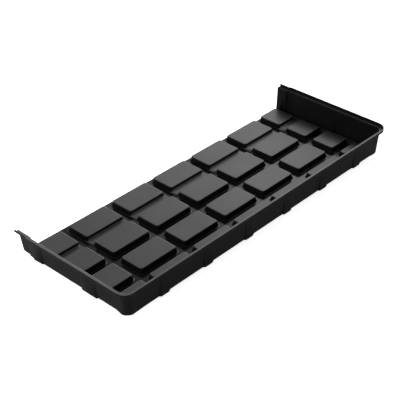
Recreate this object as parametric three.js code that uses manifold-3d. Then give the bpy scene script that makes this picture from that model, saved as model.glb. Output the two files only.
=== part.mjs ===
import * as THREE from 'three';
import { mergeVertices } from 'three/addons/utils/BufferGeometryUtils.js';
import Module from 'manifold-3d';

// End section of a formed plastic flood tray, in millimetres.
// x runs from the left wall's bottom edge, y from the front wall's, z from both of them.
// The long back side is open, where the next section joins on.

// Sheet and outline
const sheet = 2.4;
const wallLength = 1188;
const cornerRadius = 10;
const cornerSteps = 6;
const footDrop = 2.4;
const wallSpread = 9;
const ledgeTop = 90.6;
const lipTop = 99.8;
const rimOutset = 23.5;

// Raised pads and the channels between them
const columnCount = 7;
const columnPitch = 183.5;
const columnGap = 35;
const firstColumnGap = 147;
const rowGaps = [97, 216, 335.5, 456.5];
const rowGap = 32;
const padMargin = 21;
const padTop = 18.1;
const padLean = 0.24;
const padCorner = 6;
const padEase = 2.2;
const saddleDepth = 10.6;

// Feet under the walls, which run up them as shallow ribs
const sideFootWidth = 62;
const sideFootRows = [1, 3];
const frontFootHalf = 19;
const cornerFoot = 33;
const footReach = 4;
const footInner = 14;
const footFade = 1;
const footDraft = 3;

// Inset end of the walls that slides into the next section
const lapLength = 50;
const lapInset = 3.6;

// Cut along the open back: its y at the left wall's foot, its skew along the tray and its slant up the walls
const cutLeft = 462;
const cutSkew = 12.5 / wallLength;
const cutSlant = 0.03;

// Inlet and overflow fittings, on two of the narrow pads behind the front wall
const fittingY = 36;
const inletColumn = 1;
const overflowColumn = 0;
const fitGap = 0.3;
const boreRadius = 5.3;
const stemRadius = 8;
const flangeRadius = 12.5;
const flangeThickness = 2.2;
const gasketThickness = 1.6;
const nutRadius = 11.8;
const nutThickness = 7;
const stemClearance = 1.5;
const roundSides = 24;

// Strainer, riser and cap
const plugRadius = boreRadius - fitGap;
const tubeBore = 3.8;
const strainerRadius = 9;
const strainerHeight = 4;
const strainerWall = 1.4;
const strainerPlug = 7;
const strainerSlots = 8;
const strainerSlotWidth = 2.6;
const riserDepth = 14;
const riserTop = 24.9;
const collarRadius = 6.6;
const collarThickness = 1.2;
const capRadius = 7;
const capLift = 1.8;
const capThickness = 1.3;
const capLegDepth = 8;
const finThickness = 1.4;

// Values worked out from the ones above
const rowCount = rowGaps.length;
const openEdge = rowGaps[rowCount - 1];
const ledgeUnder = ledgeTop - sheet;
const channelFloor = sheet - footDrop;
const fieldMargin = padMargin - 2;
const leanSheet = sheet * Math.hypot(1, padLean);
const below = -footDrop - 2;
const past = 10;
const backEdge = openEdge + past;
const lapStart = openEdge - lapLength;
const cutAt = (x, z) => cutLeft - cutSkew * x + cutSlant * z;
const backMost = cutAt(lapInset - rimOutset, ledgeTop);

const wasm = await Module();
wasm.setup();

// A closed three.js geometry as a solid that can be joined and cut
function solid(geometry) {
  const bare = geometry.index ? geometry.clone() : geometry;
  bare.deleteAttribute('normal');
  bare.deleteAttribute('uv');
  const merged = mergeVertices(bare, 1e-4);
  const mesh = new wasm.Mesh({
    numProp: 3,
    vertProperties: new Float32Array(merged.attributes.position.array),
    triVerts: new Uint32Array(merged.index.array),
  });
  return new wasm.Manifold(mesh);
}

function geometryOf(manifold) {
  const mesh = manifold.getMesh();
  const geometry = new THREE.BufferGeometry();
  geometry.setAttribute('position', new THREE.BufferAttribute(mesh.vertProperties, 3));
  geometry.setIndex(new THREE.BufferAttribute(mesh.triVerts, 1));
  geometry.computeVertexNormals();
  return geometry;
}

const join = (solids) => solids.reduce((whole, next) => whole.add(next));

function box(x0, x1, y0, y1, z0, z1) {
  const geometry = new THREE.BoxGeometry(x1 - x0, y1 - y0, z1 - z0);
  geometry.translate((x0 + x1) / 2, (y0 + y1) / 2, (z0 + z1) / 2);
  return solid(geometry);
}

// Solid through level outlines, listed upwards, with the same number of points in each
function loft(levels) {
  const count = levels[0].outline.length;
  const positions = levels.flatMap(({ z, outline }) => outline.flatMap((p) => [p.x, p.y, z]));
  const faces = [];
  for (let level = 0; level < levels.length - 1; level += 1) {
    for (let i = 0; i < count; i += 1) {
      const a = level * count + i;
      const b = level * count + ((i + 1) % count);
      faces.push(a, b, b + count, a, b + count, a + count);
    }
  }
  const top = (levels.length - 1) * count;
  for (const [a, b, c] of THREE.ShapeUtils.triangulateShape(levels[0].outline, [])) {
    faces.push(a, c, b);
  }
  for (const [a, b, c] of THREE.ShapeUtils.triangulateShape(levels.at(-1).outline, [])) {
    faces.push(top + a, top + b, top + c);
  }
  const geometry = new THREE.BufferGeometry();
  geometry.setAttribute('position', new THREE.Float32BufferAttribute(positions, 3));
  geometry.setIndex(faces);
  return solid(geometry);
}

function rectangle(x0, x1, y0, y1) {
  return [[x0, y0], [x1, y0], [x1, y1], [x0, y1]].map(([x, y]) => new THREE.Vector2(x, y));
}

function roundedRectangle(x0, x1, y0, y1, radius) {
  const shape = new THREE.Shape();
  shape.absarc(x0 + radius, y0 + radius, radius, Math.PI, 1.5 * Math.PI);
  shape.absarc(x1 - radius, y0 + radius, radius, 1.5 * Math.PI, 2 * Math.PI);
  shape.absarc(x1 - radius, y1 - radius, radius, 0, 0.5 * Math.PI);
  shape.absarc(x0 + radius, y1 - radius, radius, 0.5 * Math.PI, Math.PI);
  return shape.getPoints(1);
}

// Tray outline, square at the open back, with front corners that widen as it grows
function trayOutline(grow, back) {
  const radius = cornerRadius + grow;
  const corner = (x, start) => Array.from({ length: cornerSteps + 1 }, (_, i) => {
    const angle = start + ((i / cornerSteps) * Math.PI) / 2;
    return new THREE.Vector2(x + radius * Math.cos(angle), cornerRadius + radius * Math.sin(angle));
  });
  return [
    new THREE.Vector2(-grow, back),
    ...corner(cornerRadius, Math.PI),
    ...corner(wallLength - cornerRadius, 1.5 * Math.PI),
    new THREE.Vector2(wallLength + grow, back),
  ];
}

const wallLean = (z) => (wallSpread * z) / ledgeUnder;

// Outside of walls, ledge and lip, down to the feet
function outside(inset) {
  const level = (z, grow) => ({ z, outline: trayOutline(grow - inset, backEdge) });
  return loft([
    level(-footDrop, wallLean(-footDrop) - footDraft),
    level(0, 0),
    level(ledgeUnder, wallSpread),
    level(ledgeUnder, rimOutset),
    level(lipTop, rimOutset),
  ]);
}

// Space inside the walls, above the floor that runs along their foot
function inside(inset) {
  const level = (z, grow) => ({ z, outline: trayOutline(grow - sheet - inset, backEdge + past) });
  return loft([
    level(sheet, wallLean(sheet)),
    level(ledgeTop, wallSpread),
    level(ledgeTop, rimOutset),
    level(lipTop + past, rimOutset),
  ]);
}

// Pad and channel spacing
const columnGaps = Array.from({ length: columnCount - 1 }, (_, i) => firstColumnGap + i * columnPitch);
const columns = Array.from({ length: columnCount }, (_, i) => [
  i === 0 ? padMargin : columnGaps[i - 1] + columnGap / 2,
  i === columnCount - 1 ? wallLength - padMargin : columnGaps[i] - columnGap / 2,
]);
const rows = Array.from({ length: rowCount }, (_, i) => [
  i === 0 ? padMargin : rowGaps[i - 1] + rowGap / 2,
  rowGaps[i] - rowGap / 2,
]);
const middle = ([from, to]) => (from + to) / 2;
const padSpread = (z) => padLean * (padTop - z);

function padLevel(xs, ys, z, spread) {
  const [x0, x1] = [xs[0] - spread, xs[1] + spread];
  const [y0, y1] = [ys[0] - spread, ys[1] + spread];
  return { z, outline: roundedRectangle(x0, x1, y0, y1, padCorner) };
}

// Pad as seen from above, with an eased top edge
function padBody(xs, ys) {
  const shoulder = padTop - padEase;
  return loft([
    padLevel(xs, ys, below, padSpread(below)),
    padLevel(xs, ys, shoulder, padSpread(shoulder)),
    padLevel(xs, ys, padTop, -padEase / 2),
  ]);
}

// Drafted block over the pad's footprint, drawn in from it by inset
function padBlock(xs, ys, top, inset) {
  return loft([
    padLevel(xs, ys, below, padSpread(below) - inset),
    padLevel(xs, ys, top, padSpread(top) - inset),
  ]);
}

const padCells = columns.flatMap((xs) => rows.map((ys) => [xs, ys]));
// The channel between the last two rows is bridged halfway up along every pad
const saddleRows = [middle(rows[2]), middle(rows[3])];
const saddleTop = padTop - saddleDepth;

const padBodies = padCells.map(([xs, ys]) => padBody(xs, ys));
const saddles = columns.map((xs) => padBlock(xs, saddleRows, saddleTop, 0));
const padHollows = padCells.map(([xs, ys]) => padBlock(xs, ys, padTop - sheet, leanSheet));
const saddleHollows = columns.map((xs) => padBlock(xs, saddleRows, saddleTop - sheet, leanSheet));

// A foot's rib and the space inside it: spanAt gives its outline from the rib's outer and inner faces
function rib(spanAt) {
  const top = ledgeUnder - sheet;
  const faceTop = -wallSpread + footFade;
  return {
    body: loft([
      { z: -footDrop, outline: spanAt(-footReach, footInner, 0) },
      { z: ledgeUnder, outline: spanAt(faceTop, footInner, 0) },
    ]),
    space: loft([
      { z: channelFloor, outline: spanAt(-footReach + sheet, footInner - sheet, sheet) },
      { z: top, outline: spanAt(faceTop + sheet, footInner - sheet, sheet) },
    ]),
  };
}

const sideRibs = sideFootRows.flatMap((row) => {
  const from = middle(rows[row]) - sideFootWidth / 2;
  const to = from + sideFootWidth;
  const leftRib = (outer, inner, inset) => rectangle(outer, inner, from + inset, to - inset);
  const rightRib = (outer, inner, inset) =>
    rectangle(wallLength - inner, wallLength - outer, from + inset, to - inset);
  return [rib(leftRib), rib(rightRib)];
});
const frontRibs = columnGaps.map((gap) => rib((outer, inner, inset) => {
  const half = frontFootHalf - inset;
  return rectangle(gap - half, gap + half, outer, inner);
}));
const ribs = [...sideRibs, ...frontRibs];

const cornerBox = (inset, z0, z1) => {
  const reach = cornerFoot - inset;
  return box(-past, reach, -past, reach, z0, z1).add(
    box(wallLength - reach, wallLength + past, -past, reach, z0, z1));
};

// Space above the sheet: basin, deep channels, rib spaces and corner pockets, less pads and saddles
function spaceAbove() {
  const clear = 4 * past;
  const mainPart = box(-clear, wallLength + clear, -clear, lapStart - sheet, -clear, lipTop + clear);
  const fieldEnd = wallLength - fieldMargin;
  const field = box(fieldMargin, fieldEnd, fieldMargin, backEdge + past, channelFloor, sheet + 1);
  const cornerFloor = loft([channelFloor, sheet + 1].map((z) => (
    { z, outline: trayOutline(wallLean(z) - sheet, openEdge) })));
  const channelEnds = columnGaps.map((gap) => {
    const half = frontFootHalf - sheet;
    return box(gap - half, gap + half, 0, fieldMargin + 1, channelFloor, sheet + 1);
  });
  const open = join([
    inside(0).intersect(mainPart),
    inside(lapInset),
    field,
    cornerFloor.intersect(cornerBox(sheet, below, sheet + 1)),
    ...channelEnds,
    ...ribs.map(({ space }) => space),
  ]);
  return open.subtract(join([...padBodies, ...saddles]));
}

// Space under the sheet: all below the walls' bottom edge but rails and feet, and the pads' hollow backs
function spaceBelow() {
  const railBottom = -footDrop - 1;
  const slab = box(-4 * past, wallLength + 4 * past, -4 * past, backEdge + past, below, 0);
  const columnRails = columnGaps.map((gap) => {
    const half = columnGap / 2 + 1;
    return box(gap - half, gap + half, fieldMargin, backEdge + past, railBottom, 1);
  });
  const frontRails = columnGaps.map((gap) =>
    box(gap - frontFootHalf, gap + frontFootHalf, -past, fieldMargin + 1, railBottom, 1));
  const rowRails = rowGaps.filter((_, i) => i !== rowCount - 2).map((gap) => {
    const half = rowGap / 2 + 1;
    const end = fieldMargin - sheet;
    return box(end, wallLength - end, gap - half, gap + half, railBottom, 1);
  });
  const sideRails = sideFootRows.flatMap((row) => {
    const from = middle(rows[row]) - sideFootWidth / 2;
    const to = from + sideFootWidth;
    return [
      box(-past, footInner, from, to, railBottom, 1),
      box(wallLength - footInner, wallLength + past, from, to, railBottom, 1),
    ];
  });
  const kept = join([...columnRails, ...frontRails, ...rowRails, ...sideRails, cornerBox(0, railBottom, 1)]);
  return slab.subtract(kept).add(join([...padHollows, ...saddleHollows]));
}

// Upright round pieces about a fitting's axis at x
function disc(x, z0, z1, radius, sides = roundSides) {
  const geometry = new THREE.CylinderGeometry(radius, radius, z1 - z0, sides);
  geometry.rotateX(Math.PI / 2);
  geometry.translate(x, fittingY, (z0 + z1) / 2);
  return solid(geometry);
}

// The profile is [radius, z] points, anticlockwise, closing on the first
function turned(x, profile) {
  const points = [...profile, profile[0]].map(([r, z]) => new THREE.Vector2(r, z));
  const geometry = new THREE.LatheGeometry(points, roundSides);
  geometry.rotateX(Math.PI / 2);
  geometry.translate(x, fittingY, 0);
  return solid(geometry);
}

const ring = (x, inner, outer, z0, z1) =>
  turned(x, [[inner, z0], [outer, z0], [outer, z1], [inner, z1]]);

// Heights in the stack of gasket, flange and nut about the pad's top
const gasketBottom = padTop + fitGap;
const flangeBottom = gasketBottom + gasketThickness + fitGap;
const flangeTop = flangeBottom + flangeThickness;
const seat = flangeTop + fitGap;
const nutTop = padTop - sheet - fitGap;
const stemBottom = stemClearance - footDrop;
const inletX = middle(columns[inletColumn]);
const overflowX = middle(columns[overflowColumn]);

function trayShell() {
  const clear = 4 * past;
  const lapPart = box(-clear, wallLength + clear, lapStart, backEdge + past, -clear, lipTop + clear);
  const walls = outside(0).subtract(lapPart).add(outside(lapInset).intersect(lapPart));
  const body = join([walls, ...ribs.map(({ body: foot }) => foot)]);
  const holes = [inletX, overflowX].map((x) => disc(x, 0, padTop + 1, stemRadius + fitGap));
  // The left lip stops where the lap starts, and only the ledge runs on
  const lipCut = box(-clear, 0, lapStart, backEdge + past, ledgeTop, lipTop + past);
  const endCut = loft([below - past, lipTop + past].map((z) => ({
    z,
    outline: [
      new THREE.Vector2(-clear, cutAt(-clear, z)),
      new THREE.Vector2(wallLength + clear, cutAt(wallLength + clear, z)),
      new THREE.Vector2(wallLength + clear, backEdge + clear),
      new THREE.Vector2(-clear, backEdge + clear),
    ],
  })));
  return body.subtract(spaceAbove()).subtract(spaceBelow()).subtract(join([...holes, lipCut, endCut]));
}

function fitting(x) {
  return turned(x, [
    [boreRadius, stemBottom],
    [stemRadius, stemBottom],
    [stemRadius, flangeBottom],
    [flangeRadius, flangeBottom],
    [flangeRadius, flangeTop],
    [boreRadius, flangeTop],
  ]);
}

const gasket = (x) => ring(
  x, stemRadius + fitGap, flangeRadius, gasketBottom, gasketBottom + gasketThickness);

function lockNut(x) {
  const bottom = nutTop - nutThickness;
  const hexagon = disc(x, bottom, nutTop, nutRadius, 6);
  return hexagon.subtract(disc(x, bottom - 1, nutTop + 1, stemRadius + fitGap));
}

// Slotted dome over the inlet, with a plug that stands in the fitting's bore
function strainer(x) {
  const top = seat + strainerHeight;
  const ceiling = top - strainerWall;
  const floor = seat + strainerWall / 2;
  const dome = turned(x, [
    [tubeBore, seat - strainerPlug],
    [plugRadius, seat - strainerPlug],
    [plugRadius, seat],
    [strainerRadius, seat],
    [strainerRadius, ceiling],
    [strainerRadius - strainerWall, top],
    [tubeBore, top],
    [tubeBore, ceiling],
    [strainerRadius - strainerWall, ceiling],
    [strainerRadius - strainerWall, floor],
    [tubeBore, floor],
  ]).add(disc(x, ceiling, top, tubeBore + 1));
  const slots = Array.from({ length: strainerSlots }, (_, i) => {
    const slot = new THREE.BoxGeometry(4 * strainerWall, strainerSlotWidth, ceiling - floor);
    slot.translate(strainerRadius, 0, (ceiling + floor) / 2);
    slot.rotateZ(((i + 0.5) * 2 * Math.PI) / strainerSlots);
    slot.translate(x, fittingY, 0);
    return solid(slot);
  });
  return dome.subtract(join(slots));
}

// Push-in tube that sets the water level, with a collar that stops on the flange
function riser(x) {
  const tube = ring(x, tubeBore, plugRadius, seat - riserDepth, riserTop);
  return tube.add(ring(x, plugRadius - fitGap, collarRadius, seat, seat + collarThickness));
}

// Leaf guard that stands clear of the riser's rim on crossed fins
function cap(x) {
  const rim = riserTop + fitGap;
  const under = rim + capLift;
  const legHalf = tubeBore - 2 * fitGap;
  const half = finThickness / 2;
  const fins = [[legHalf, rim - capLegDepth], [plugRadius, rim]].flatMap(([reach, z0]) => [
    box(x - reach, x + reach, fittingY - half, fittingY + half, z0, under + 1),
    box(x - half, x + half, fittingY - reach, fittingY + reach, z0, under + 1),
  ]);
  return join([disc(x, under, under + capThickness, capRadius), ...fins]);
}

// Finishes
const blackSheet = { color: 0x1b1b1c, roughness: 0.42, metalness: 0 };
const blackMoulding = { color: 0x161617, roughness: 0.5, metalness: 0 };
const greyRubber = { color: 0x2a2a2b, roughness: 0.85, metalness: 0 };

const tray = new THREE.Group();
tray.position.set(-wallLength / 2, -(backMost - rimOutset) / 2, footDrop);

function place(name, manifold, finish) {
  const mesh = new THREE.Mesh(geometryOf(manifold), new THREE.MeshStandardMaterial(finish));
  mesh.name = name;
  tray.add(mesh);
}

place('tray_shell', trayShell(), blackSheet);
for (const [name, x] of [['inlet', inletX], ['overflow', overflowX]]) {
  place(`${name}_fitting`, fitting(x), blackMoulding);
  place(`${name}_gasket`, gasket(x), greyRubber);
  place(`${name}_lock_nut`, lockNut(x), blackMoulding);
}
place('inlet_strainer', strainer(inletX), blackMoulding);
place('overflow_riser', riser(overflowX), blackMoulding);
place('overflow_cap', cap(overflowX), blackMoulding);

export default tray;
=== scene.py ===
import bmesh
import bpy
import math
from mathutils import Matrix, Vector


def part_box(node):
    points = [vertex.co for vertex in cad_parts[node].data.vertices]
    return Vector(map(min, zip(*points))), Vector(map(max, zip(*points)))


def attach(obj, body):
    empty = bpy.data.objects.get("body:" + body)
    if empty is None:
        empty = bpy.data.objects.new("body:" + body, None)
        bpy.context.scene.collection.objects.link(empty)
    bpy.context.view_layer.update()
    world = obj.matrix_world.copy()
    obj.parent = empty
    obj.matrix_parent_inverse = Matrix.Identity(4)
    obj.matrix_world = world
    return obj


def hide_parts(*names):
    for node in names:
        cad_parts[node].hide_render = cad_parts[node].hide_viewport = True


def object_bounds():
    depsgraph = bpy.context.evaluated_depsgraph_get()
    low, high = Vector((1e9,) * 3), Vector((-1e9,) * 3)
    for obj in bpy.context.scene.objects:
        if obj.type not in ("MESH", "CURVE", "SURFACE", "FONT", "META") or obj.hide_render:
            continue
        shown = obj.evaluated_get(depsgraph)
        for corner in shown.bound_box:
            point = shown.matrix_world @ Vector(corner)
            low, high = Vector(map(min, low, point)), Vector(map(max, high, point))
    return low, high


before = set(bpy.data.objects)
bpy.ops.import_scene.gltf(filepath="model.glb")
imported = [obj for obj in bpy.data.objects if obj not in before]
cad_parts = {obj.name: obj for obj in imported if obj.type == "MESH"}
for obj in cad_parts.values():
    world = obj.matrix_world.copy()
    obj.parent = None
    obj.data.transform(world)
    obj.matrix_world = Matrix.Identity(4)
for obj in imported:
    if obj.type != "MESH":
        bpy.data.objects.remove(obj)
cadLow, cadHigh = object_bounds()
scene = bpy.context.scene
mm = 0.001
mergeDistance = 0.001  # in millimetres
print("frame loaded:", len(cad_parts), "nodes")


# Shader wiring: a socket that takes part in Python sums

class Wire:
    def __init__(self, nodes, socket):
        self.nodes = nodes
        self.socket = socket

    def sum(self, operation, first, second):
        return self.nodes.make("ShaderNodeMath", {"operation": operation}, {0: first, 1: second})

    def __add__(self, other):
        return self.sum("ADD", self, other)

    def __sub__(self, other):
        return self.sum("SUBTRACT", self, other)

    def __rsub__(self, other):
        return self.sum("SUBTRACT", other, self)

    def __mul__(self, other):
        return self.sum("MULTIPLY", self, other)

    __radd__ = __add__
    __rmul__ = __mul__


class Nodes:
    def __init__(self, tree):
        self.tree = tree
        tree.nodes.clear()

    def make(self, kind, settings=None, inputs=None, output=0):
        node = self.tree.nodes.new(kind)
        for key, value in (settings or {}).items():
            if key == "stops":
                setStops(node.color_ramp, value)
            else:
                setattr(node, key, value)
        for key, value in (inputs or {}).items():
            if isinstance(value, Wire):
                self.tree.links.new(value.socket, node.inputs[key])
            else:
                node.inputs[key].default_value = value
        return Wire(self, node.outputs[output] if len(node.outputs) else None)

    def noise(self, place, scale, detail, roughness=0.5):
        inputs = {"Vector": place, "Scale": scale, "Detail": detail, "Roughness": roughness}
        return self.make("ShaderNodeTexNoise", None, inputs)

    def ramp(self, value, stops):
        return self.make("ShaderNodeValToRGB", {"stops": stops}, {"Fac": value})

    # Sockets 6 and 7 are the Mix node's two colours, and output 2 is the mixed one
    def blend(self, factor, first, second):
        inputs = {"Factor": factor, 6: first, 7: second}
        return self.make("ShaderNodeMix", {"data_type": "RGBA"}, inputs, 2)

    def part(self, vector, axis):
        return self.make("ShaderNodeSeparateXYZ", None, {0: vector}, axis)

    def ease(self, value, start, end):
        inputs = {"Value": value, "From Min": start, "From Max": end}
        return self.make("ShaderNodeMapRange", {"interpolation_type": "SMOOTHSTEP"}, inputs)

    def bump(self, height, strength, distance):
        inputs = {"Height": height, "Strength": strength, "Distance": distance}
        return self.make("ShaderNodeBump", None, inputs)


def setStops(ramp, stops):
    while len(ramp.elements) < len(stops):
        ramp.elements.new(0.5)
    for element, (place, level) in zip(ramp.elements, stops):
        element.position = place
        element.color = grey(level)


def grey(level, warm=0.0):
    return (level * (1 + warm), level, level * (1 - warm), 1)


def plastic(name, look):
    material = bpy.data.materials.new(name)
    material.use_nodes = True
    nodes = Nodes(material.node_tree)
    place = nodes.make("ShaderNodeTexCoord", None, None, "Object")
    height = nodes.part(place, "Z")
    grain = nodes.noise(place, *look["grain"])
    cloud = nodes.noise(place, *look["cloud"]) - 0.5
    along = nodes.make("ShaderNodeMapping", None, {"Vector": place, "Scale": look["rubStretch"]})
    rubs = nodes.ramp(nodes.noise(along, *look["rubs"]), look["rubStops"])
    specks = nodes.ramp(nodes.noise(place, *look["specks"]), look["speckStops"])
    worn = rubs * look["rubAmount"] + specks * look["speckAmount"]
    # Painted shade: the base colour is painted darker towards the bottom of the tray, darkest on the
    # channel floors between the pads
    paintedShadeColour = nodes.blend(nodes.ease(height, *look["deepRise"]), look["deep"], look["colour"])
    relief = grain + rubs * look["rubRelief"]
    inputs = {
        "Base Color": nodes.blend(worn, paintedShadeColour, look["worn"]),
        "Roughness": look["roughness"] + cloud * look["cloudDepth"] + worn * look["wornRough"],
        "Normal": nodes.bump(relief, look["bump"], look["bumpDepth"]),
        "Specular IOR Level": look["gloss"],
    }
    if "polish" in look:
        facing = nodes.make("ShaderNodeNewGeometry", None, None, "Normal")
        polished = nodes.ease(height, *look["polishRise"])
        polished = polished * nodes.ease(nodes.part(facing, "Z"), *look["polishTilt"])
        polished = polished * (1 - nodes.ease(nodes.part(place, "X"), *look["polishEnd"]))
        edge = nodes.ease(nodes.part(facing, "X"), *look["edgeTilt"]) * look["edgePolish"]
        inputs["Coat Weight"] = polished * (look["polish"] + cloud * look["polishCloud"] + edge)
        inputs["Coat Roughness"] = look["polishRough"]
    shader = nodes.make("ShaderNodeBsdfPrincipled", None, inputs)
    nodes.make("ShaderNodeOutputMaterial", None, {"Surface": shader})
    return material


# Finishes: the sheet is satin inside the tray, smoother on the channel floors, matt outside,
# and paler where it was cut. The satin is a coat on faces that look up, on the pads above a height
# Inside, the second, darker grey is painted shade on the low channel floors
plainSheet = {
    "colour": grey(0.0060), "deep": grey(0.0020), "deepRise": (0.003, 0.022), "worn": grey(0.05),
    "roughness": 0.34, "wornRough": 0.5, "gloss": 0.02,
    "grain": (1400, 3), "bump": 0.18, "bumpDepth": 0.0002,
    "cloud": (9, 4, 0.6), "cloudDepth": 0.10,
    "specks": (420, 2), "speckStops": ((0.70, 0), (0.78, 1)), "speckAmount": 0.10,
    "rubs": (26, 5, 0.65), "rubStops": ((0.56, 0), (0.74, 1)), "rubAmount": 0.07,
    "rubStretch": (1, 6, 6), "rubRelief": 0.3,
}
padPolish = {
    "polish": 0.46, "polishRough": 0.42, "polishCloud": 0.2, "polishTilt": (0.45, 0.8),
    "polishRise": (0.0018, 0.0034), "polishEnd": (0.594, 0.600),
    "edgeTilt": (0.04, 0.25), "edgePolish": 0.90,
}
anyHeight = (-2, -1)
anyLength = (1, 2)
sheetInside = {**plainSheet, **padPolish}
looks = {
    "sheetInside": sheetInside,
    "sheetOutside": dict(
        plainSheet, colour=grey(0.0108), deep=grey(0.0108), roughness=0.46, gloss=0.012,
        grain=(1000, 3), bump=0.25,
    ),
    "sheetCut": dict(
        sheetInside, colour=grey(0.013), deep=grey(0.013), roughness=0.42, bump=0.2, rubAmount=0.12,
        polish=0.8, polishRise=anyHeight, polishEnd=anyLength, polishTilt=(-0.1, 0.3),
    ),
    "sheetFloor": dict(
        sheetInside, gloss=0.0, polish=0.24, polishRough=0.18, polishRise=anyHeight,
        polishTilt=(0.85, 0.98),
    ),
    "moulding": dict(
        plainSheet, colour=grey(0.010), deep=grey(0.010), roughness=0.44, gloss=0.35,
        grain=(2600, 3), bump=0.16, specks=(900, 2),
    ),
    "sealRubber": dict(
        plainSheet, colour=grey(0.017, 0.03), deep=grey(0.017, 0.03), roughness=0.80, gloss=0.3,
        grain=(3200, 3), bump=0.4,
    ),
}
finishes = {name: plastic(name, look) for name, look in looks.items()}
print("finishes made:", len(finishes))


def addPiece(name, bm, body, slot, node, *lookNames):
    mesh = bpy.data.meshes.new(name)
    bm.to_mesh(mesh)
    bm.free()
    mesh.shade_smooth()
    for lookName in lookNames:
        mesh.materials.append(finishes[lookName])
    piece = bpy.data.objects.new(name, mesh)
    scene.collection.objects.link(piece)
    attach(piece, body)
    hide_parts(node)
    return piece


def inMetres(bm):
    bmesh.ops.scale(bm, verts=bm.verts, vec=(mm, mm, mm))
    return bm


def softenEdges(piece, width, angle):
    bevel = piece.modifiers.new("edges", "BEVEL")
    bevel.width = width * mm
    bevel.segments = 2
    bevel.limit_method = "ANGLE"
    bevel.angle_limit = math.radians(angle)
    bevel.harden_normals = True


# Tray shell: one formed sheet, in millimetres from the walls' bottom edges at the front left corner

shellLow, shellHigh = [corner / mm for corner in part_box("tray_shell")]
shell = {
    "sheet": 2.0, "rimOutset": 23.5, "footDrop": 2.4, "clear": 0.12, "ledgeTop": 90.6, "rimSink": 1.0,
    "wallSpread": 9.0, "wallFootRound": 0.6, "cornerFootRound": 5.0, "ledgeRound": 2.2, "lipRound": 1.4,
    "straightTop": 78.0, "wallRows": (0.08, 0.18, 0.34, 0.50, 0.66, 0.84, 1), "lipRowLift": 1.0,
    "footSteps": 4, "ledgeSteps": 4, "lipSteps": 3, "cornerSteps": 6,
    "gridInset": 6.0, "gutterLine": 11.5, "lineGap": 0.25, "floorLevel": 1.0, "edges": (0.4, 84),
}
leftWall = {
    "fade": (0, 60), "sinks": ((4.0, (-5, 50)), (4.5, (60, 420))),
    "footRound": 7.5, "footStart": (24, 36), "footEnd": (60, 430), "ribCut": 0.6,
}
pads = {
    "columns": 7, "columnPitch": 183.5, "columnGap": 35.0, "firstColumnGap": 147.0,
    "rowGaps": (97.0, 216.0, 335.5, 456.5), "rowGap": 32.0, "channelHalf": 16.0,
    "margin": 21.0, "fieldMargin": 19.0, "top": 18.1, "lean": 0.24, "topRound": 2.6, "footRound": 3.0,
    "corner": 8.0, "cornerFade": (6.0, 13.0), "saddleRows": (2, 3), "saddleTop": 7.5, "saddleEase": 3.0,
    "arcSteps": 3, "innerLines": (1, 0.78, 0.56), "edgeStep": 1.2, "draftStep": 1.4,
    "splitFrom": 2, "splits": 4,
}
ribs = {
    "sideRows": (1, 3), "sideHalf": 31.0, "frontHalf": 19.0, "ease": 1.6,
    "reach": 4.0, "topReach": 8.0, "pocket": 10.8, "pocketInset": 3.0, "corner": 29.8,
}
corners = {
    "left": {"radius": 20.0, "growth": 0.30}, "right": {"radius": 10.0, "growth": 1.36}, "slide": 90.0,
}
lap = {"length": 50.0, "inset": 3.6, "ease": 2.0, "squeeze": 13.0, "lastLine": 4.0}
holes = {"radius": 8.3, "cell": 9.0, "cellSlack": 0.1, "segments": 24, "inset": 0.3}
cut = {"left": 462.0, "skew": 12.5, "slant": 0.03, "spare": 8.0}
# Inside, then the back and rim that Solidify takes from it, and the same for the channel floors
sheetLooks = ("sheetInside", "sheetOutside", "sheetCut", "sheetFloor", "sheetOutside", "sheetCut")

origin = shellLow + Vector((shell["rimOutset"], shell["rimOutset"], shell["footDrop"]))
wallLength = shellHigh.x - shellLow.x - 2 * shell["rimOutset"]
lipTop = shellHigh.z - shellLow.z - shell["footDrop"]
channelFloor = shell["sheet"] - shell["footDrop"] + shell["clear"]
wallSlope = shell["wallSpread"] / (shell["ledgeTop"] - shell["sheet"])
padAngle = math.atan(1 / pads["lean"])
topRun, footRun = [pads[key] * math.tan(padAngle / 2) for key in ("topRound", "footRound")]
openEdge = pads["rowGaps"][-1]
lapStart = openEdge - lap["length"]
backEdge = cut["left"] + cut["spare"]
columnGaps = [pads["firstColumnGap"] + i * pads["columnPitch"] for i in range(pads["columns"] - 1)]


def between(gaps, gap, first, last):
    starts = [first] + [g + gap / 2 for g in gaps]
    ends = [g - gap / 2 for g in gaps] + [last]
    return list(zip(starts, ends))


def middle(pair):
    return (pair[0] + pair[1]) / 2


def half(pair):
    return (pair[1] - pair[0]) / 2


def shares(steps):
    return [k / steps for k in range(steps + 1)]


def eased(start, end, value):
    t = min(max((value - start) / (end - start), 0), 1)
    return t * t * (3 - 2 * t)


def within(low, high, ease, value):
    return eased(low - ease, low + ease, value) * (1 - eased(high - ease, high + ease, value))


columns = between(columnGaps, pads["columnGap"], pads["margin"], wallLength - pads["margin"])
rows = between(pads["rowGaps"], pads["rowGap"], pads["margin"], None)[:-1]
sideRibs = [middle(rows[row]) for row in ribs["sideRows"]]
fittingNodes = ("inlet", "overflow")
fittingPlaces = {}
for name in fittingNodes:
    low, high = [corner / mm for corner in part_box(name + "_fitting")]
    fittingPlaces[name] = (low + high) / 2 - origin


# Height of a drafted block's surface at distance d outside its top outline
def raised(d, top, base):
    topRound, footRound = pads["topRound"], pads["footRound"]
    footEnd = (top - base) * pads["lean"] + footRun
    if d <= -topRun:
        return top
    if d >= footEnd:
        return base
    if d <= topRound * math.sin(padAngle) - topRun:
        return top - topRound + math.sqrt(topRound ** 2 - (d + topRun) ** 2)
    if d >= footEnd - footRound * math.sin(padAngle):
        return base + footRound - math.sqrt(footRound ** 2 - (footEnd - d) ** 2)
    return top - d / pads["lean"]


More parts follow.
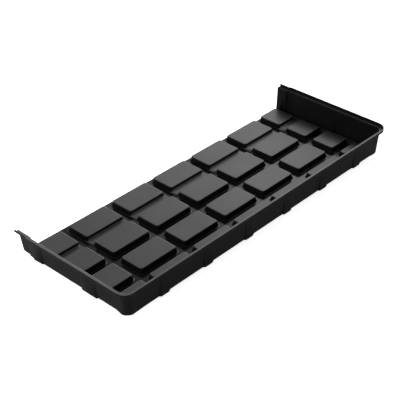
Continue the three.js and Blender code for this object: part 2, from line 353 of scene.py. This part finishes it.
# Distance outside a rectangle with round corners, negative inside it
def outsideOf(x, y, xs, ys):
    dx = abs(x - middle(xs)) - half(xs) + pads["corner"]
    dy = abs(y - middle(ys)) - half(ys) + pads["corner"]
    return math.hypot(max(dx, 0), max(dy, 0)) + min(max(dx, dy), 0) - pads["corner"]


def nearest(pairs, value):
    gaps = [abs(value - middle(pair)) - half(pair) for pair in pairs]
    return gaps.index(min(gaps))


# Gutter level along the walls, lower in the channels, the ribs' pockets and the corners
def baseLevel(x, y):
    ease, channelHalf = ribs["ease"], pads["channelHalf"]
    pocketHalf = ribs["sideHalf"] - ribs["pocketInset"]
    edge = min(x, wallLength - x)
    field = eased(pads["fieldMargin"] - ease, pads["fieldMargin"] + ease, min(edge, y))
    front = max(within(gap - channelHalf, gap + channelHalf, ease, x) for gap in columnGaps)
    side = max(within(rib - pocketHalf, rib + pocketHalf, ease, y) for rib in sideRibs)
    side *= 1 - eased(ribs["pocket"] - ease, ribs["pocket"] + ease, edge)
    corner = 1 - eased(ribs["corner"] - ease, ribs["corner"] + ease, max(edge, y))
    low = max(field, front, side, corner)
    return shell["sheet"] + (channelFloor - shell["sheet"]) * low


# Pads stand on the base, and a low saddle joins the last two rows
def floorHeight(x, y):
    xs = columns[nearest(columns, x)]
    ys = rows[nearest(rows, y)]
    base = baseLevel(x, y)
    near, far = [rows[row] for row in pads["saddleRows"]]
    ease = pads["saddleEase"]
    bridged = eased(near[1], near[1] + ease, y) * (1 - eased(far[0] - ease, far[0], y))
    if bridged > 0:
        spread = pads["lean"] * (pads["top"] - pads["saddleTop"])
        d = outsideOf(x, y, xs, (middle(near), middle(far))) - spread
        base += (raised(d, pads["saddleTop"], base) - base) * bridged
    return raised(outsideOf(x, y, xs, ys), pads["top"], base)


# Grid lines: close together over each pad edge, so that its rounds and draft are smooth
def padEdgeSteps():
    footEnd = (pads["top"] - channelFloor) * pads["lean"] + footRun
    turns = [math.sin(padAngle * share) for share in shares(pads["arcSteps"])]
    inner = [-pads["corner"] * share for share in pads["innerLines"]]
    topArc = [pads["topRound"] * turn - topRun for turn in turns]
    footArc = [footEnd - pads["footRound"] * turn for turn in turns[:-1]]
    ends = [-topRun - pads["edgeStep"], footEnd + pads["edgeStep"]]
    return inner + topArc + [pads["draftStep"]] + footArc + ends


def gridLines(pairs, ends, extras, cells):
    lines = set(ends) | set(extras)
    for start, end in pairs:
        lines |= {start - step for step in padEdgeSteps()}
        lines |= {end + step for step in padEdgeSteps()}
    kept = []
    for line in sorted(lines):
        inCell = any(abs(line - cell) < holes["cell"] - holes["cellSlack"] for cell in cells)
        fits = min(ends) <= line <= max(ends) and not inCell
        if fits and (not kept or line - kept[-1] > shell["lineGap"]):
            kept.append(line)
    kept[-1] = max(ends)
    return kept


# Centre of a front corner's arc, from the wall lines, and its radius, at a distance out from them
def cornerArc(side, out):
    corner = corners[side]
    return corner["radius"] + (corner["growth"] - 1) * out, corner["radius"] + corner["growth"] * out


def cornerLines(side):
    centre, radius = cornerArc(side, -shell["gridInset"])
    turns = [math.radians(45 * share) for share in shares(shell["cornerSteps"])]
    return [centre - radius * math.tan(turn) for turn in turns]


def stepLines(place, ease):
    return [place + ease * k / 2 for k in range(-2, 3)]


def flipped(lines):
    return [wallLength - line for line in lines]


inset, gutter, cell = shell["gridInset"], shell["gutterLine"], holes["cell"]
fittingXs = [place.x for place in fittingPlaces.values()]
xExtras = cornerLines("left") + flipped(cornerLines("right")) + [gutter, wallLength - gutter]
for fittingX in fittingXs:
    xExtras += [fittingX - cell, fittingX + cell]
for start, end in columns[pads["splitFrom"]:]:
    xExtras += [start + (end - start) * share for share in shares(pads["splits"])[1:-1]]
xLines = gridLines(columns, (inset, wallLength - inset), xExtras, fittingXs)

fittingY = fittingPlaces["inlet"].y
yExtras = cornerLines("left") + cornerLines("right") + [gutter, fittingY - cell, fittingY + cell]
for rib in sideRibs:
    yExtras += stepLines(rib - ribs["sideHalf"], ribs["ease"])
    yExtras += stepLines(rib + ribs["sideHalf"], ribs["ease"])
yExtras += stepLines(lapStart, lap["ease"]) + [openEdge - lap["lastLine"]]
yLines = gridLines(rows, (inset, backEdge), yExtras, [fittingY])


# Points of the wall's inner face, from its foot round up to the lip's top: out from the wall line,
# and up. The rim sits a little lower along the left wall, whose foot is rounder towards the front
def wallPoints(foot, anchor, rib, lapped, turned):
    sheet, ledgeTop = shell["sheet"], shell["ledgeTop"]
    left = 1 - eased(*leftWall["fade"], anchor.x)
    sink = sum(depth * eased(*span, anchor.y) for depth, span in leftWall["sinks"])
    sink = shell["rimSink"] + left * sink
    angle = math.atan(1 / wallSlope)

    def face(z):
        plain = wallSlope * z
        ribbed = ribs["reach"] + (ribs["topReach"] - ribs["reach"]) * z / ledgeTop
        return max(plain, plain + (ribbed - plain) * rib) - sheet - lapped

    points = []
    rounder = eased(*leftWall["footStart"], anchor.y) * (1 - eased(*leftWall["footEnd"], anchor.y))
    radius = shell["wallFootRound"] + shell["cornerFootRound"] * turned
    radius += left * leftWall["footRound"] * rounder * (1 - rib * leftWall["ribCut"])
    start = face(foot) - radius * math.tan(angle / 2)
    first = math.asin(max(0, (-shell["gridInset"] - lapped - start) / radius))
    for share in shares(shell["footSteps"]):
        turn = first + (angle - first) * share
        points.append((start + radius * math.sin(turn), foot + radius * (1 - math.cos(turn))))
    low = points[-1][1]
    for share in shell["wallRows"]:
        z = low + (shell["straightTop"] - low) * share
        points.append((face(z), z))
    radius = shell["ledgeRound"]
    centre = shell["wallSpread"] - sheet - lapped + radius * math.tan(angle / 2)
    for share in shares(shell["ledgeSteps"]):
        turn = angle * (1 - share)
        points.append((centre - radius * math.sin(turn), ledgeTop - radius * (1 - math.cos(turn))))
    radius = shell["lipRound"]
    lipFace = shell["rimOutset"] - sheet - lapped
    for share in shares(shell["lipSteps"]):
        turn = math.pi / 2 * share
        out = lipFace - radius * (1 - math.sin(turn))
        points.append((out, ledgeTop + radius * (1 - math.cos(turn))))
    points.append((lipFace, (ledgeTop + lipTop) / 2 + shell["lipRowLift"]))
    points.append((lipFace, lipTop))
    return [(out, z - sink * max(z, 0) / lipTop) for out, z in points]


# Where a point on the grid's left, front or right edge meets the wall, which way is out, how far
# round a corner it turns, and how much of a rib it has
def wallStation(x, y):
    side = "left" if x < wallLength / 2 else "right"
    radius, growth = corners[side]["radius"], corners[side]["growth"]
    inward = Vector((1 if side == "left" else -1, 1))
    start = Vector((0 if side == "left" else wallLength, 0))
    offset = Vector((x, y)) - start - inward * cornerArc(side, -shell["gridInset"])[0]
    if offset.x * inward.x < 0 and offset.y < 0:
        turn = offset.normalized()
        anchor = start + (inward + turn) * radius
        return anchor, turn * growth + inward * (growth - 1), abs(turn.x * turn.y) * 2, 0
    ease, frontHalf, sideHalf = ribs["ease"], ribs["frontHalf"], ribs["sideHalf"]
    if offset.y < 0:
        slide = (growth - 1) * (1 - eased(radius, radius + corners["slide"], abs(x - start.x)))
        rib = max(within(gap - frontHalf, gap + frontHalf, ease, x) for gap in columnGaps)
        return Vector((x, 0)), Vector((inward.x * slide, -1)), 0, rib
    slide = (growth - 1) * (1 - eased(radius, radius + corners["slide"], y))
    rib = max(within(place - sideHalf, place + sideHalf, ease, y) for place in sideRibs)
    return Vector((start.x, y)), Vector((-inward.x, slide)), 0, rib


# Grid points in a front corner move onto arcs about its centre
def rounded(x, y):
    side = "left" if x < wallLength / 2 else "right"
    centre, _ = cornerArc(side, -shell["gridInset"])
    middleX = centre if side == "left" else wallLength - centre
    offset = Vector((x - middleX, y - centre))
    if (offset.x < 0) == (side == "left") and offset.x != 0 and offset.y < 0:
        offset = offset.normalized() * max(abs(offset.x), abs(offset.y))
    return middleX + offset.x, centre + offset.y


# Grid points about a pad's corner move onto arcs too, except where a saddle joins two pads
def roundedPad(x, y):
    row = nearest(rows, y)
    xs, ys = columns[nearest(columns, x)], rows[row]
    sideX = 1 if x > middle(xs) else -1
    sideY = 1 if y > middle(ys) else -1
    centreX = middle(xs) + sideX * (half(xs) - pads["corner"])
    centreY = middle(ys) + sideY * (half(ys) - pads["corner"])
    arm = Vector(((x - centreX) * sideX, (y - centreY) * sideY))
    near, far = pads["saddleRows"]
    if min(arm) <= 0 or (row, sideY) in ((near, 1), (far, -1)):
        return x, y
    reach = max(arm)
    fadeStart, fadeEnd = [pads["corner"] + fade for fade in pads["cornerFade"]]
    arm = arm.lerp(arm.normalized() * reach, 1 - eased(fadeStart, fadeEnd, reach))
    return centreX + sideX * arm.x, centreY + sideY * arm.y


def cutHole(bm, place):
    cell = min(bm.faces, key=lambda face: (face.calc_center_median().xy - place.xy).length)
    edges = list(cell.edges)
    bmesh.ops.delete(bm, geom=[cell], context="FACES_ONLY")
    cuts = holes["segments"] // 4 - 1
    parted = bmesh.ops.subdivide_edges(bm, edges=edges, cuts=cuts)["geom"]
    square = [g for g in parted if isinstance(g, bmesh.types.BMEdge) and g.is_boundary]
    cell = bmesh.ops.contextual_create(bm, geom=square)["faces"][0]
    bmesh.ops.inset_individual(bm, faces=[cell], thickness=holes["inset"])
    for vert in cell.verts:
        vert.co.xy = place.xy + (vert.co.xy - place.xy).normalized() * holes["radius"]
    bmesh.ops.delete(bm, geom=[cell], context="FACES_ONLY")


# The floor's grid, and what its left, front and right edge points need to climb the walls
def buildFloor(bm):
    across, along = len(xLines) - 1, len(yLines) - 1
    bmesh.ops.create_grid(bm, x_segments=across, y_segments=along, size=0.5)
    climbs = {}
    for vert in bm.verts:
        i = round((vert.co.x + 0.5) * across)
        j = round((vert.co.y + 0.5) * along)
        lineX, lineY = xLines[i], yLines[j]
        lapped = lap["inset"] * eased(lapStart - lap["ease"], lapStart + lap["ease"], lineY)
        x, y = rounded(*roundedPad(lineX, lineY))
        edge = min(x, wallLength - x)
        if edge < lap["squeeze"]:
            moved = lapped * (lap["squeeze"] - edge) / (lap["squeeze"] - shell["gridInset"])
            x += moved if x < wallLength / 2 else -moved
        vert.co = (x, y, floorHeight(x, y))
        if i in (0, across) or j == 0:
            anchor, out, turned, rib = wallStation(lineX, lineY)
            points = wallPoints(vert.co.z, anchor, rib, lapped, turned)
            vert.co.z = points[0][1]
            climbs[vert] = (anchor, out, points)
    return climbs


def buildWalls(bm, climbs):
    edges = [edge for edge in bm.edges if edge.is_boundary and all(v in climbs for v in edge.verts)]
    count = len(next(iter(climbs.values()))[2])
    for k in range(1, count):
        made = bmesh.ops.extrude_edge_only(bm, edges=edges)["geom"]
        fresh = {g for g in made if isinstance(g, bmesh.types.BMVert)}
        edges = [g for g in made if isinstance(g, bmesh.types.BMEdge) and fresh.issuperset(g.verts)]
        for vert in fresh:
            linked = [edge.other_vert(vert) for edge in vert.link_edges]
            climbs[vert] = climbs[next(other for other in linked if other not in fresh)]
            anchor, out, points = climbs[vert]
            reach, height = points[k]
            vert.co = (anchor.x + out.x * reach, anchor.y + out.y * reach, height)


def buildShell():
    bm = bmesh.new()
    buildWalls(bm, buildFloor(bm))
    for place in fittingPlaces.values():
        cutHole(bm, place)
    bmesh.ops.bisect_plane(
        bm, geom=bm.verts[:] + bm.edges[:] + bm.faces[:], dist=mergeDistance, clear_outer=True,
        plane_co=(0, cut["left"], 0), plane_no=(cut["skew"] / wallLength, 1, -cut["slant"]),
    )
    floorLook = sheetLooks.index("sheetFloor")
    for face in bm.faces:
        onFloor = face.calc_center_median().z < shell["floorLevel"]
        face.material_index = floorLook if onFloor else 0
    bmesh.ops.recalc_face_normals(bm, faces=bm.faces)
    pad = Vector((middle(columns[3]), middle(rows[2]), pads["top"]))
    padFace = min(bm.faces, key=lambda face: (face.calc_center_median() - pad).length)
    if padFace.normal.z < 0:
        bmesh.ops.reverse_faces(bm, faces=bm.faces)
    bmesh.ops.translate(bm, verts=bm.verts, vec=origin)
    return inMetres(bm)


sheetPiece = addPiece("formedSheet", buildShell(), "tray", "formed_sheet", "tray_shell", *sheetLooks)
thick = sheetPiece.modifiers.new("sheet", "SOLIDIFY")
thick.thickness = shell["sheet"] * mm
thick.offset = -1
thick.use_even_offset = True
thick.use_quality_normals = True
thick.material_offset = 1
thick.material_offset_rim = 2
softenEdges(sheetPiece, *shell["edges"])
print("formed sheet:", len(sheetPiece.data.polygons), "faces")


# Fittings: spun profiles of radius and height, in millimetres on the axis of each fitting.
# "edges" holds the width and the least angle of the bevel

def nodeBox(node):
    low, high = [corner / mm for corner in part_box(node)]
    place = Vector(((low.x + high.x) / 2, (low.y + high.y) / 2, 0))
    return place, low.z, high.z, (high.x - low.x) / 2


def dropLoose(bm):
    loose = [edge for edge in bm.edges if not edge.link_faces]
    bmesh.ops.delete(bm, geom=loose, context="EDGES")


def spun(profile, place, steps):
    bm = bmesh.new()
    ring = [bm.verts.new((place.x + radius, place.y, z)) for radius, z in profile]
    edges = [bm.edges.new(pair) for pair in zip(ring, ring[1:] + ring[:1])]
    bmesh.ops.spin(
        bm, geom=ring + edges, cent=place, axis=(0, 0, 1), angle=2 * math.pi, steps=steps,
        use_merge=True,
    )
    bmesh.ops.remove_doubles(bm, verts=bm.verts, dist=mergeDistance)
    flat = [face for face in bm.faces if face.calc_area() < mergeDistance ** 2]
    bmesh.ops.delete(bm, geom=flat, context="FACES")
    dropLoose(bm)
    bmesh.ops.recalc_face_normals(bm, faces=bm.faces)
    return bm


# Crown as shares of the radius, then shoulder as insets from it, each with its drop below the top
def domed(piece, radius, top):
    crown = [(radius * share, top - drop) for share, drop in piece["crown"]]
    return crown + [(radius - inset, top - drop) for inset, drop in piece["shoulder"]]


fitting = {
    "bore": 5.3, "stem": 8.0, "chamfer": 0.7, "flange": 2.2, "underEdge": 0.4, "topEdge": 0.9,
    "mouth": 0.6, "ring": 0.4, "steps": 72, "edges": (0.15, 35),
    "threadStart": 1.8, "threadEnd": 3.0, "pitch": 1.8, "groove": 0.5,
    "grooveTurns": (0, 0.4, 0.8, 1.2), "grips": 18, "gripDepth": 0.4, "gripBand": 0.5,
}


def buildFitting(node):
    place, low, top, radius = nodeBox(node)
    bore, stem, chamfer = fitting["bore"], fitting["stem"], fitting["chamfer"]
    under, groove = top - fitting["flange"], stem - fitting["groove"]
    profile = [(bore, low), (stem - chamfer, low), (stem, low + chamfer)]
    z = low + fitting["threadStart"]
    while z < under - fitting["threadEnd"]:
        heights = [z + turn for turn in fitting["grooveTurns"]]
        profile += zip((stem, groove, groove, stem), heights)
        z += fitting["pitch"]
    foot, edge, mouth, ring = [fitting[key] for key in ("underEdge", "topEdge", "mouth", "ring")]
    profile += [
        (stem, under), (radius - foot, under), (radius, under + foot), (radius, top - edge),
        (radius - edge / 3, top - edge / 3), (radius - edge, top), (radius - edge - ring, top),
        (bore + mouth + ring, top), (bore + mouth, top), (bore, top - mouth),
    ]
    bm = spun(profile, place, fitting["steps"])
    for vert in bm.verts:
        arm = vert.co.xy - place.xy
        if arm.length > radius - fitting["gripBand"]:
            wave = math.cos(fitting["grips"] * math.atan2(arm.y, arm.x))
            dip = fitting["gripDepth"] * (0.5 - 0.5 * wave)
            vert.co.xy = place.xy + arm * (1 - dip / arm.length)
    return inMetres(bm)


gasket = {"hole": 8.3, "round": 0.45, "bulge": 0.3, "steps": 48, "edges": (0.15, 50)}


def buildGasket(node):
    place, low, top, radius = nodeBox(node)
    hole, edge = gasket["hole"], gasket["round"]
    bulge = edge * gasket["bulge"]
    profile = [
        (hole, low), (radius - edge, low), (radius - bulge, low + bulge), (radius, low + edge),
        (radius, top - edge), (radius - bulge, top - bulge), (radius - edge, top), (hole, top),
    ]
    return inMetres(spun(profile, place, gasket["steps"]))


lockNut = {
    "hole": 8.3, "sides": 6, "sideSteps": 8, "cornerBand": 0.2, "cornerDrop": 0.45, "edges": (0.25, 35),
}


def buildLockNut(node):
    place, low, top, radius = nodeBox(node)
    bm = bmesh.new()
    spot = Matrix.Translation((place.x, place.y, top))
    sides, reach = lockNut["sides"], radius / math.cos(math.pi / lockNut["sides"])
    outer = bmesh.ops.create_circle(bm, segments=sides, radius=reach, matrix=spot)["verts"]
    rim = list({edge for vert in outer for edge in vert.link_edges})
    bmesh.ops.subdivide_edges(bm, edges=rim, cuts=lockNut["sideSteps"] - 1)
    rim = bm.edges[:]
    hole = lockNut["hole"]
    inner = bmesh.ops.create_circle(bm, segments=len(rim), radius=hole, matrix=spot)["verts"]
    bore = list({edge for vert in inner for edge in vert.link_edges})
    bmesh.ops.bridge_loops(bm, edges=rim + bore)
    bmesh.ops.recalc_face_normals(bm, faces=bm.faces)
    if bm.faces[:][0].normal.z < 0:
        bmesh.ops.reverse_faces(bm, faces=bm.faces)
    bmesh.ops.solidify(bm, geom=bm.faces[:], thickness=top - low)
    bmesh.ops.recalc_face_normals(bm, faces=bm.faces)
    for vert in bm.verts:
        past = (vert.co.xy - place.xy).length - radius
        vert.co.z = min(max(vert.co.z, low), top)
        if past > lockNut["cornerBand"]:
            drop = past * lockNut["cornerDrop"]
            vert.co.z += -drop if vert.co.z > (low + top) / 2 else drop
    return inMetres(bm)


strainer = {
    "bore": 3.8, "plug": 5.0, "height": 4.0, "wall": 1.4, "edge": 0.3, "plugEdge": 0.5,
    "crown": ((0, 0), (0.45, 0.06), (0.72, 0.25)), "shoulder": ((1.0, 0.6), (0.3, 1.0)),
    "slots": 8, "slotSteps": 8, "slotWidth": 3, "upright": 0.1, "edges": (0.15, 40),
}


def buildStrainer(node):
    place, low, top, radius = nodeBox(node)
    wall, bore, plug, edge = [strainer[key] for key in ("wall", "bore", "plug", "edge")]
    seat = top - strainer["height"]
    floor, ceiling = seat + wall / 2, top - wall
    inside = radius - wall
    profile = domed(strainer, radius, top) + [
        (radius, ceiling), (radius, floor), (radius, seat + edge), (radius - edge, seat), (plug, seat),
        (plug, low + strainer["plugEdge"]), (plug - edge, low), (bore, low), (bore, floor),
        (inside, floor), (inside, ceiling), (0, ceiling),
    ]
    slotSteps = strainer["slotSteps"]
    steps = strainer["slots"] * slotSteps
    bm = spun(profile, place, steps)
    slots = {}
    for face in bm.faces:
        centre = face.calc_center_median()
        arm = centre.xy - place.xy
        upright = abs(face.normal.z) < strainer["upright"]
        inWall = arm.length > inside - edge and floor < centre.z < ceiling
        step = math.floor(math.atan2(arm.y, arm.x) / (2 * math.pi) * steps) % steps
        if upright and inWall and step % slotSteps < strainer["slotWidth"]:
            slots.setdefault(step // slotSteps, []).append(face)
    for faces in slots.values():
        edges = {edge for face in faces for edge in face.edges}
        bmesh.ops.delete(bm, geom=faces, context="FACES_ONLY")
        bmesh.ops.bridge_loops(bm, edges=[edge for edge in edges if edge.is_boundary])
    dropLoose(bm)
    bmesh.ops.recalc_face_normals(bm, faces=bm.faces)
    return inMetres(bm)


riser = {
    "bore": 3.8, "tube": 5.0, "collar": 1.2, "seatGap": 0.3, "collarEdge": 0.25, "mouth": 0.3,
    "lead": (0.4, 0.6), "steps": 48, "edges": (0.15, 40),
}


def buildRiser(node):
    place, low, top, radius = nodeBox(node)
    bore, tube, edge, mouth = [riser[key] for key in ("bore", "tube", "collarEdge", "mouth")]
    leadIn, leadUp = riser["lead"]
    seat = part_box("overflow_fitting")[1].z / mm + riser["seatGap"]
    collarTop = seat + riser["collar"]
    profile = [
        (bore, low), (tube - leadIn, low), (tube, low + leadUp), (tube, seat), (radius - edge, seat),
        (radius, seat + edge), (radius, collarTop - edge), (radius - edge, collarTop),
        (tube, collarTop), (tube, top - mouth), (tube - mouth, top), (bore + mouth, top),
        (bore, top - mouth),
    ]
    return inMetres(spun(profile, place, riser["steps"]))


cap = {
    "thick": 1.3, "lift": 1.8, "fin": 1.4, "leg": 3.2, "foot": 5.0, "underEdge": 0.2,
    "crown": ((0, 0), (0.5, 0.06), (0.8, 0.22)), "shoulder": ((0.35, 0.5), (0, 0.85)),
    "steps": 48, "edges": (0.15, 40),
}


def addCross(bm, place, reach, fin, low, top):
    quarter = [(fin, fin), (fin, reach), (-fin, reach)]
    outline = []
    for turn in range(4):
        outline += quarter
        quarter = [(-y, x) for x, y in quarter]
    face = bm.faces.new([bm.verts.new((place.x + x, place.y + y, low)) for x, y in outline])
    made = bmesh.ops.extrude_face_region(bm, geom=[face], use_keep_orig=True)["geom"]
    raisedVerts = [g for g in made if isinstance(g, bmesh.types.BMVert)]
    bmesh.ops.translate(bm, verts=raisedVerts, vec=(0, 0, top - low))


def buildCap(node):
    place, low, top, radius = nodeBox(node)
    under = top - cap["thick"]
    profile = domed(cap, radius, top) + [(radius - cap["underEdge"], under), (0, under)]
    bm = spun(profile, place, cap["steps"])
    fin, footLow = cap["fin"] / 2, under - cap["lift"]
    addCross(bm, place, cap["foot"], fin, footLow, under)
    addCross(bm, place, cap["leg"], fin, low, footLow)
    bmesh.ops.recalc_face_normals(bm, faces=bm.faces)
    return inMetres(bm)


def addSmall(name, build, sizes, node, body, slot, look):
    piece = addPiece(name, build(node), body, slot, node, look)
    softenEdges(piece, *sizes["edges"])


for name in fittingNodes:
    flanged, sealed, nutted = name + "_fitting", name + "_gasket", name + "_lock_nut"
    addSmall(name + "Fitting", buildFitting, fitting, flanged, "tray", "moulding", "moulding")
    addSmall(name + "Gasket", buildGasket, gasket, sealed, "tray", "seal", "sealRubber")
    addSmall(name + "LockNut", buildLockNut, lockNut, nutted, "tray", "moulding", "moulding")
addSmall("inletStrainer", buildStrainer, strainer, "inlet_strainer", "strainer", "moulding", "moulding")
addSmall("overflowRiser", buildRiser, riser, "overflow_riser", "riser", "moulding", "moulding")
addSmall("overflowCap", buildCap, cap, "overflow_cap", "cap", "moulding", "moulding")
print("fittings, strainer, riser and cap made")


# Camera, fitted to the photo's view
view = {
    "place": (-2.0521, -1.9169, 1.9127), "azimuth": -46.04, "elevation": 34.25, "roll": -1.10,
    "lens": 94.03, "sensor": 36.0, "clipStart": 0.05,
}


def addCamera():
    azimuth, elevation, roll = [math.radians(view[key]) for key in ("azimuth", "elevation", "roll")]
    level = math.cos(elevation)
    back = Vector((math.sin(azimuth) * level, -math.cos(azimuth) * level, math.sin(elevation)))
    right = Vector((0, 0, 1)).cross(back).normalized()
    up = back.cross(right)
    turn = Matrix((right, up, back)).transposed() @ Matrix.Rotation(roll, 3, "Z")
    data = bpy.data.cameras.new("camera")
    data.lens = view["lens"]
    data.sensor_width = view["sensor"]
    data.clip_start = view["clipStart"]
    camera = bpy.data.objects.new("camera", data)
    camera.matrix_world = Matrix.Translation(view["place"]) @ turn.to_4x4()
    scene.collection.objects.link(camera)
    scene.camera = camera


# Studio: a pale floor that the camera sees as white, soft boxes and an even sky
studio = {
    "floorSize": 30.0, "floorDrop": 0.0004, "floorGrey": 0.80, "floorLift": 0.80, "sky": 0.40,
    "target": (0.0, 0.0, 0.02), "boxSize": 1.6, "boxDistance": 4.0,
}
softBoxes = {
    "right": {"azimuth": 25, "elevation": 40, "watts": 46.0},
    "backRight": {"azimuth": 45, "elevation": 26, "watts": 23.5},
    "back": {"azimuth": 85, "elevation": 26, "watts": 53.0},
    "backLeft": {"azimuth": 120, "elevation": 40, "watts": 52.0},
    "left": {"azimuth": 180, "elevation": 30, "watts": 47.0},
}


def seenBackground(nodes):
    path = nodes.make("ShaderNodeLightPath")
    rays = path.socket.node.outputs
    seen = Wire(nodes, rays["Is Camera Ray"]) + Wire(nodes, rays["Is Glossy Ray"])
    return seen + Wire(nodes, rays["Is Transmission Ray"])


def addFloor():
    bm = bmesh.new()
    bmesh.ops.create_grid(bm, x_segments=1, y_segments=1, size=studio["floorSize"] / 2)
    bmesh.ops.translate(bm, verts=bm.verts, vec=(0, 0, cadLow.z - studio["floorDrop"]))
    mesh = bpy.data.meshes.new("floor")
    bm.to_mesh(mesh)
    bm.free()
    material = bpy.data.materials.new("paleFloor")
    material.use_nodes = True
    nodes = Nodes(material.node_tree)
    matt = nodes.make("ShaderNodeBsdfDiffuse", None, {"Color": grey(studio["floorGrey"])})
    strength = seenBackground(nodes) * studio["floorLift"]
    lift = nodes.make("ShaderNodeEmission", None, {"Strength": strength})
    both = nodes.make("ShaderNodeAddShader", None, {0: matt, 1: lift})
    nodes.make("ShaderNodeOutputMaterial", None, {"Surface": both})
    mesh.materials.append(material)
    floor = bpy.data.objects.new("floor", mesh)
    scene.collection.objects.link(floor)


def addSky():
    world = bpy.data.worlds.new("studio")
    world.use_nodes = True
    nodes = Nodes(world.node_tree)
    strength = studio["sky"] + seenBackground(nodes) * (1 - studio["sky"])
    sky = nodes.make("ShaderNodeBackground", None, {"Color": grey(1), "Strength": strength})
    nodes.make("ShaderNodeOutputWorld", None, {"Surface": sky})
    scene.world = world


def addSoftBoxes():
    target = Vector(studio["target"])
    for name, box in softBoxes.items():
        data = bpy.data.lights.new(name, "AREA")
        data.size = studio["boxSize"]
        data.energy = box["watts"]
        azimuth, elevation = math.radians(box["azimuth"]), math.radians(box["elevation"])
        way = Vector((math.cos(azimuth), math.sin(azimuth), math.tan(elevation))).normalized()
        place = Matrix.Translation(target + way * studio["boxDistance"])
        lamp = bpy.data.objects.new(name, data)
        lamp.matrix_world = place @ way.to_track_quat("Z", "Y").to_matrix().to_4x4()
        scene.collection.objects.link(lamp)


addCamera()
addFloor()
addSky()
addSoftBoxes()
scene.view_settings.view_transform = "Standard"
print("camera, floor and light set")
